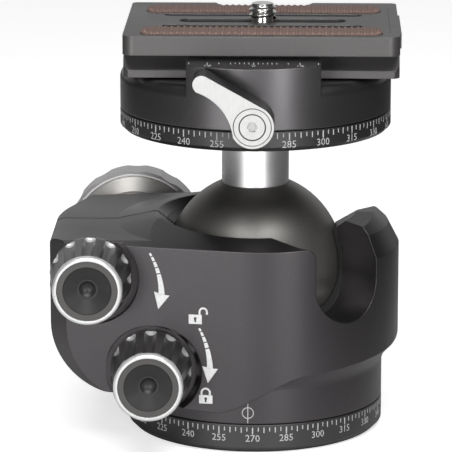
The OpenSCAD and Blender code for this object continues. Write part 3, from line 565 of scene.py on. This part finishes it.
def degree_marks(name, radius, top, body):
    """Marks every 2.5 degrees, longer at 5 and 15, and figures under each 15."""
    masters = {length: bar(width, length) for length, width in MARK_WIDTHS.items()}
    marks = []
    for step in range(round(360 / MARK_TURN)):
        angle = step * MARK_TURN
        if angle % FIGURE_TURN == 0:
            length = LONG_MARK
        else:
            length = MIDDLE_MARK if angle % 5 == 0 else SHORT_MARK
        marks.append(wrap(twin(masters[length], Matrix()), radius, angle, top))
    for angle in range(0, 360, FIGURE_TURN):
        figure = numeral(str(angle), FIGURE_SIZE)
        marks.append(wrap(figure, radius, angle, top - LONG_MARK - FIGURE_DROP))
    for master in masters.values():
        bpy.data.objects.remove(master)
    hand_over(join(marks), name, body, mark_paint, 30)


degree_marks("foot_degree_marks", FOOT_R, FOOT_MARK_TOP, "base")
degree_marks("ring_degree_marks", RING_R, RING_MARK_TOP, "stem")


def circle_through(a, b, c):
    """Centre and radius of the circle through three points of the drawing plane."""
    (ax, ay), (bx, by), (cx, cy) = a, b, c
    d = 2 * (ax * (by - cy) + bx * (cy - ay) + cx * (ay - by))
    ux = ((ax * ax + ay * ay) * (by - cy) + (bx * bx + by * by) * (cy - ay)
          + (cx * cx + cy * cy) * (ay - by)) / d
    uy = ((ax * ax + ay * ay) * (cx - bx) + (bx * bx + by * by) * (ax - cx)
          + (cx * cx + cy * cy) * (bx - ax)) / d
    return (ux, uy), math.hypot(ax - ux, ay - uy)


def band(centre, radius, width, start, sweep, steps):
    """A curved band spun from one short edge. start and sweep are in degrees."""
    bpy.ops.mesh.primitive_plane_add(size=width * MM, location=(radius * MM, -width / 2 * MM, 0))
    piece = bpy.context.object
    set_in_place(piece)
    edit(piece)
    choose(piece, "VERT", lambda at: at.y < -width / 2)
    bpy.ops.mesh.delete(type="VERT")
    bpy.ops.mesh.select_all(action="SELECT")
    # The spin runs clockwise for a positive angle
    bpy.ops.mesh.spin(steps=steps, angle=math.radians(-sweep), center=(0, 0, 0), axis=(0, 0, 1))
    done()
    piece.data.transform(Matrix.Rotation(math.radians(start), 4, "Z"))
    shift(piece, centre[0], centre[1], 0)
    return piece


def outline_face(points):
    """A flat face whose corners are pulled from a small circle to the given points."""
    bpy.ops.mesh.primitive_circle_add(vertices=len(points), radius=1 * MM, fill_type="NGON")
    piece = bpy.context.object
    for vertex, (x, y) in zip(piece.data.vertices, points):
        vertex.co = Vector((x * MM, y * MM, 0))
    return piece


def box_face(left, right, low, high):
    return outline_face([(left, low), (right, low), (right, high), (left, high)])


def raise_face(piece, height=PROUD, depth=0.16):
    """Turns a flat face towards the reader and gives it a thickness."""
    edit(piece)
    merge_doubles()
    bpy.ops.mesh.select_mode(type="FACE")
    bpy.ops.mesh.select_all(action="SELECT")
    bpy.ops.mesh.extrude_region_move(TRANSFORM_OT_translate={"value": (0, 0, -depth * MM)})
    bpy.ops.mesh.select_all(action="SELECT")
    bpy.ops.mesh.normals_make_consistent(inside=False)
    done()
    shift(piece, 0, 0, height)
    return piece


# The housing's flat front: right along the wall, up, and out towards the reader
RIGHT = Vector((math.cos(WALL_TURN), -math.sin(WALL_TURN), 0))
OUT = Vector((-math.sin(WALL_TURN), -math.cos(WALL_TURN), 0))
WALL_Y = WALL_SHIFT - (WALL_R - WALL_SHIFT * math.sin(WALL_TURN)) / math.cos(WALL_TURN)
FRONT_WALL = Matrix((
    (RIGHT.x, 0, OUT.x, 0), (RIGHT.y, 0, OUT.y, WALL_Y * MM), (0, 1, 0, 0), (0, 0, 0, 1)))

ARROW_WIDTH = 1.0
ARROW_TAIL, ARROW_GROWTH = 0.45, 0.95
ARROW_STEPS = 40
ARROW_GAPS = (3, 8, 14, 20)
HEAD_HALF_WIDTH = 1.85
HEAD_BARB = 0.25


def direction(centre, x, y):
    return math.degrees(math.atan2(y - centre[1], x - centre[0]))


def half_turn_at_most(angle):
    return (angle + 180) % 360 - 180


def turning_arrow(start, middle, end, tip):
    """An arrow that starts in dashes, widens along its bow and ends in a barbed head."""
    centre, radius = circle_through(start, middle, end)
    first = direction(centre, *start)
    sweep = half_turn_at_most(direction(centre, *end) - first)

    def along(x, y):
        return half_turn_at_most(direction(centre, x, y) - first) / sweep

    bow = band(centre, radius, ARROW_WIDTH, first, sweep, ARROW_STEPS)
    for vertex in bow.data.vertices:
        x, y = vertex.co.x / MM, vertex.co.y / MM
        share = max(0, min(1, along(x, y)))
        arm = Vector((x - centre[0], y - centre[1]))
        spread = (arm.length - radius) * (ARROW_TAIL + ARROW_GROWTH * share)
        arm = arm.normalized() * (radius + spread)
        vertex.co = Vector(((centre[0] + arm.x) * MM, (centre[1] + arm.y) * MM, 0))
    edit(bow)
    choose(bow, "FACE", lambda at: int(along(at.x, at.y) * ARROW_STEPS) in ARROW_GAPS)
    bpy.ops.mesh.delete(type="FACE")
    done()
    way = (Vector(tip) - Vector(end)).normalized()
    side = Vector((-way.y, way.x))
    neck = Vector(end) - way * 0.05
    barb = Vector(end) - way * HEAD_BARB
    head = outline_face([
        barb + side * HEAD_HALF_WIDTH, neck + side * 0.3,
        neck - side * 0.3, barb - side * HEAD_HALF_WIDTH, Vector(tip)])
    return [raise_face(bow), raise_face(head)]


def padlock(centre, width, height, bow_centre, bow_r, leg_ends):
    """The outline of a small padlock: case, bow and the two legs of the bow."""
    stroke = 0.45
    middle_r = bow_r - stroke / 2
    parts = [
        box_face(centre[0] - width / 2, centre[0] + width / 2,
                 centre[1] - height / 2, centre[1] + height / 2),
        band(bow_centre, middle_r, stroke, 0, 180, 12)]
    for side, end in zip((-1, 1), leg_ends):
        x = bow_centre[0] + side * middle_r
        parts.append(box_face(x - stroke / 2, x + stroke / 2, end, bow_centre[1]))
    return [raise_face(part) for part in parts]


def keyhole(centre):
    """A round eye over a slot that widens downwards."""
    x, y = centre
    bpy.ops.mesh.primitive_circle_add(vertices=14, radius=0.34 * MM, fill_type="NGON",
                                      location=(x * MM, (y + 0.18) * MM, 0))
    eye = bpy.context.object
    set_in_place(eye)
    slot = outline_face([
        (x - 0.24, y - 0.62), (x + 0.24, y - 0.62), (x + 0.14, y + 0.1), (x - 0.14, y + 0.1)])
    return [raise_face(part, 0.05, 0.1) for part in (eye, slot)]


# Each arrow's start, a point on the way, its end and the tip of its head
UPPER_ARROW = (-23.8, 46.5), (-21.7, 41.4), (-21.1, 36.9), (-21.9, 33.4)
LOWER_ARROW = (-12.4, 29.3), (-10.5, 24.4), (-9.9, 19.9), (-10.4, 16.4)
OPEN_LOCK, SHUT_LOCK = (-13.3, 31.4), (-10.9, 12.5)

wall_marks = join(
    turning_arrow(*UPPER_ARROW) + turning_arrow(*LOWER_ARROW)
    + padlock(OPEN_LOCK, 3.05, 2.2, bow_centre=(-11.45, 33.2), bow_r=1.08, leg_ends=(32.4, 32.6))
    + padlock(SHUT_LOCK, 3.15, 2.0, bow_centre=(-10.9, 14.1), bow_r=1.2, leg_ends=(13.4, 13.4)))
wall_marks.data.transform(FRONT_WALL)
hand_over(wall_marks, "turn_arrows", "housing", arrow_paint, 30)

keyholes = join(keyhole(OPEN_LOCK) + keyhole(SHUT_LOCK))
keyholes.data.transform(FRONT_WALL)
hand_over(keyholes, "padlock_keyholes", "housing", body_grey, 30)

# The index over the foot's scale: a ring with an upright line through it
INDEX_STROKE = 0.2
INDEX_HEIGHT = 4.9
INDEX_RING_R = 1.28
INDEX_TURN, INDEX_Z = 267.9, 9.6
index_ring = raise_face(band((0, 0), INDEX_RING_R, INDEX_STROKE, 0, 360, 28))
index_line = bar(INDEX_STROKE, INDEX_HEIGHT)
shift(index_line, 0, INDEX_HEIGHT / 2, 0)
index_mark = wrap(join([index_ring, index_line]), FOOT_R, INDEX_TURN, INDEX_Z)
hand_over(index_mark, "index_mark", "housing", mark_paint, 30)

# The small level scale on the front jaw, whose top falls a little towards the front
JAW_FALL = 0.0742
JAW_FALL_START = -23
SCALE_Y = -25.4
SCALE_FIGURES_Y = -28.1
SCALE_MARKS = (0, 1.05, 2.1, 3.15, 4.15, 5.2, 7.8, 10.45, 14.6)
SCALE_TEN = 10.45
SCALE_MARK_WIDTH = 0.22
SCALE_LONG_MARK, SCALE_SHORT_MARK = 1.7, 1.2
SCALE_FIGURE_SIZE = 1.9


def on_jaw(piece, x, y):
    piece.data.transform(Matrix.Rotation(math.atan(JAW_FALL), 4, "X"))
    shift(piece, x, y, JAW_TOP - JAW_FALL * (JAW_FALL_START - y))
    return piece


jaw_marks = []
for x in SCALE_MARKS:
    length = SCALE_LONG_MARK if x in (0, SCALE_TEN) else SCALE_SHORT_MARK
    for side in ((1,) if x == 0 else (-1, 1)):
        jaw_marks.append(on_jaw(bar(SCALE_MARK_WIDTH, length), side * x, SCALE_Y))
for words, x in (("0", 0), ("10", -SCALE_TEN), ("10", SCALE_TEN)):
    jaw_marks.append(on_jaw(numeral(words, SCALE_FIGURE_SIZE), x, SCALE_FIGURES_Y))
hand_over(join(jaw_marks), "jaw_scale", "drum", mark_paint, 30)


# ---- ribbed pads ----

RIB_COUNT = 37
RIB_PITCH = 1.47
RIB_WIDTH = 0.86
RIB_HEIGHT = 1.2
RIB_INSET = 0.025
STRIP_HEIGHT = 1.7
STRIP_PROUD = 0.25
STRIP_INSET = 0.25
STRIP_CORNER_R = 2.4


def rib_share(x):
    """How much of its length a rib keeps, because the strip's ends are round."""
    return 1.0 if abs(x) < 25.5 else 0.86 if abs(x) < 26.3 else 0.62


def ribbed_pad(name):
    """A rubber strip with round ends and cross ribs that stand out past its long edges."""
    low, high = low_corner(name), high_corner(name)
    middle = (low + high) / 2
    length = high.x - low.x
    strip_w = high.y - low.y - 2 * STRIP_INSET
    rib_l = high.y - low.y - 2 * RIB_INSET
    strip_top = PLATE_TOP + STRIP_PROUD

    strip = block((length, strip_w, STRIP_HEIGHT),
                  (middle.x, middle.y, strip_top - STRIP_HEIGHT / 2))
    edit(strip)
    choose(strip, "EDGE", lambda at: abs(abs(at.x - middle.x) - length / 2) < NEAR
           and abs(abs(at.y - middle.y) - strip_w / 2) < NEAR)
    bpy.ops.mesh.bevel(offset=STRIP_CORNER_R * MM, segments=6, affect="EDGES")
    choose(strip, "FACE", lambda at: at.z > strip_top - NEAR)
    bpy.ops.mesh.inset(thickness=0.25 * MM, depth=0.1 * MM)
    done()

    rib = block((RIB_WIDTH, rib_l, RIB_HEIGHT), (0, middle.y, PLATE_TOP))
    edit(rib)
    choose(rib, "EDGE", lambda at: at.z > PLATE_TOP + RIB_HEIGHT / 2 - NEAR
           or abs(abs(at.y - middle.y) - rib_l / 2) < NEAR)
    bpy.ops.mesh.bevel(offset=0.3 * MM, segments=3, affect="EDGES")
    done()
    ribs = []
    for i in range(RIB_COUNT):
        x = (i - (RIB_COUNT - 1) / 2) * RIB_PITCH
        share = rib_share(x)
        place = Matrix.Translation((
            (middle.x + x) * MM, middle.y * MM * (1 - share), 0))
        ribs.append(twin(rib, place @ Matrix.Diagonal((1, share, 1, 1))))
    bpy.data.objects.remove(rib)
    piece = join([strip] + ribs)
    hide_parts(name)
    hand_over(piece, name + "_ribbed", "plate", pad_brown)


ribbed_pad("front_pad")
ribbed_pad("rear_pad")


# ---- threads ----

INCH = 25.4
CAMERA_THREAD_R = INCH / 8
CAMERA_ROOT_R = 2.5
CAMERA_PITCH = INCH / 20
CORE_R = 2.55
HEAD_R = 6.5
HEAD_HEIGHT = 4.35
COIN_SLOT = (20, 1.6, 3.2)
TRIPOD_PITCH = INCH / 16


def helix(crest, root, pitch, low, high, x=0, flat=0.12):
    """A ridge wound round an upright axis. Its section starts as a small plane."""
    bpy.ops.mesh.primitive_plane_add(size=1 * MM, rotation=(math.radians(90), 0, 0))
    piece = bpy.context.object
    set_in_place(piece)
    toward = -1 if root > crest else 1
    corners = sorted(piece.data.vertices, key=lambda v: (v.co.x * toward, v.co.z))
    half = pitch / 2 - 0.02
    section = ((root, -half), (root, half), (crest, -flat), (crest, flat))
    for vertex, (out, up) in zip(corners, section):
        vertex.co = Vector((out * MM, 0, up * MM))
    winding = piece.modifiers.new("winding", "SCREW")
    winding.angle = math.radians(360)
    winding.iterations = max(1, int((high - low - pitch) / pitch))
    winding.screw_offset = pitch * MM
    winding.steps = 40
    winding.render_steps = 40
    winding.use_normal_calculate = True
    apply_modifier(piece, "winding")
    shift(piece, x, 0, low + pitch / 2)
    recalculate(piece)
    return piece


def threaded_camera_screw():
    """A slotted head under the plate and a threaded shank through it."""
    head_low, shank_top = low_corner("camera_screw").z, high_corner("camera_screw").z
    core = rod(CORE_R, head_low + 0.3, shank_top, 48)
    edit(core)
    choose(core, "EDGE", lambda at: at.z > shank_top - NEAR)
    bpy.ops.mesh.bevel(offset=0.35 * MM, segments=2, affect="EDGES")
    done()
    head = rod(HEAD_R, head_low, head_low + HEAD_HEIGHT, 64)
    coin_slot = block(COIN_SLOT, (PLATE_X, 0, head_low))
    cut = head.modifiers.new("slot", "BOOLEAN")
    cut.object = coin_slot
    cut.operation = "DIFFERENCE"
    cut.solver = "EXACT"
    apply_modifier(head, "slot")
    bpy.data.objects.remove(coin_slot)
    round_edges(head, 0.25)
    thread = helix(CAMERA_THREAD_R, CAMERA_ROOT_R, CAMERA_PITCH,
                   PLATE_TOP + 0.1, shank_top - 0.15, PLATE_X)
    return join([head, core, thread])


camera_screw = threaded_camera_screw()
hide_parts("camera_screw")
hand_over(camera_screw, "camera_screw_threaded", "camera_screw",
          turned("camera screw bright", (0.78, 0.77, 0.75), 0.2, (1, 1, 12)))

tripod_thread = helix(4.2, 4.85, TRIPOD_PITCH, 0.3, 9.3, flat=0.15)
hand_over(tripod_thread, "tripod_thread", "base", steel)


# ---- stage, light and camera ----

# The middle of the ground's strip that mirrors white, in millimetres
GLEAM_X = -70


def stage_look(name, seen, felt):
    """Pale matt ground. The camera sees it white, and it throws less light back up."""
    ground = Finish(name, 0)
    ground.shader.inputs["Roughness"].default_value = 0.9
    ramp = ground.add("ShaderNodeValToRGB")
    for element, tone in zip(ramp.color_ramp.elements, (seen, seen + 0.01)):
        element.color = (tone, tone, tone, 1)
    ground.link(ground.noise(40), ramp.inputs["Fac"])
    path = ground.add("ShaderNodeLightPath").outputs
    # Mirrored in the part, a strip of ground along y is as white as the camera sees it
    off_gleam = ground.compute("ABSOLUTE", ground.axes((GLEAM_X, 0, 0))[0])
    gleam = ground.spread(off_gleam, 1, 0, 0.1, 0.24)
    mirrored = ground.compute("MULTIPLY", path["Is Glossy Ray"], gleam)
    shown = ground.compute("MAXIMUM", path["Is Camera Ray"], mirrored)
    tone = ground.blend(shown, (felt, felt, felt), ramp.outputs["Color"])
    ground.colour(tone)
    ground.link(tone, ground.shader.inputs["Emission Color"])
    glow = ground.compute("MULTIPLY", path["Is Camera Ray"], 0.72)
    ground.link(glow, ground.shader.inputs["Emission Strength"])
    return ground.look


clear()
bpy.ops.mesh.primitive_plane_add(size=6, location=(0, 1.2, -0.0002))
floor = bpy.context.object
floor.name = "studio_floor"
floor.data.materials.append(stage_look("studio ground", seen=0.93, felt=0.18))

world = bpy.data.worlds.new("studio")
bpy.context.scene.world = world
world.use_nodes = True
sky = NodeTree(world.node_tree)
dim = sky.tree.nodes["Background"]
white = sky.add("ShaderNodeBackground")
for background, strength in ((dim, 0.05), (white, 1.0)):
    background.inputs["Color"].default_value = (1, 1, 1, 1)
    background.inputs["Strength"].default_value = strength
compass = sky.add("ShaderNodeSeparateXYZ")
sky.link(sky.add("ShaderNodeTexCoord").outputs["Generated"], compass.inputs[0])
backdrop = sky.spread(compass.outputs[1], 0, 0.6, 0.55, 0.9)
# The camera and glass see the white sky, mirrors a part of it, and the rest the dim one
path = sky.add("ShaderNodeLightPath").outputs
mirrored = sky.compute("MULTIPLY", path["Is Glossy Ray"], backdrop)
seen_white = sky.compute("MAXIMUM", path["Is Camera Ray"], mirrored)
choice = sky.add("ShaderNodeMixShader")
sky.link(sky.compute("MAXIMUM", seen_white, path["Is Transmission Ray"]), choice.inputs["Fac"])
sky.link(dim.outputs[0], choice.inputs[1])
sky.link(white.outputs[0], choice.inputs[2])
sky.link(choice.outputs[0], sky.tree.nodes["World Output"].inputs["Surface"])

LAMP_AIM = Vector((0, 0, 0.05))


def soft_lamp(name, place, size, power):
    data = bpy.data.lights.new(name, "AREA")
    data.shape = "RECTANGLE"
    data.size, data.size_y = size
    data.energy = power
    lamp = bpy.data.objects.new(name, data)
    bpy.context.scene.collection.objects.link(lamp)
    lamp.location = place
    lamp.rotation_mode = "QUATERNION"
    lamp.rotation_quaternion = (LAMP_AIM - Vector(place)).to_track_quat("-Z", "Y")


soft_lamp("key", (0.04, -0.5, 0.85), size=(0.9, 0.5), power=8)
soft_lamp("right strip", (0.34, -0.83, 0.1), size=(0.14, 0.24), power=2.3)
soft_lamp("left strip", (-0.36, -0.82, 0.1), size=(0.36, 0.24), power=2.6)

turn = Matrix.Rotation(math.radians(1.0), 3, "Z")
camera_data = bpy.data.cameras.new("camera")
camera_data.lens = 268.05
camera_data.sensor_width = 36
camera_data.clip_start = 0.05
camera_data.clip_end = 20
camera = bpy.data.objects.new("camera", camera_data)
bpy.context.scene.collection.objects.link(camera)
camera.location = turn @ Vector((0, -0.7718, 0.2270))
aim = turn @ Vector((-0.006896, 0, 0.046647))
camera.rotation_mode = "QUATERNION"
camera.rotation_quaternion = (aim - camera.location).to_track_quat("-Z", "Y")
bpy.context.scene.camera = camera
bpy.context.scene.view_settings.view_transform = "Standard"
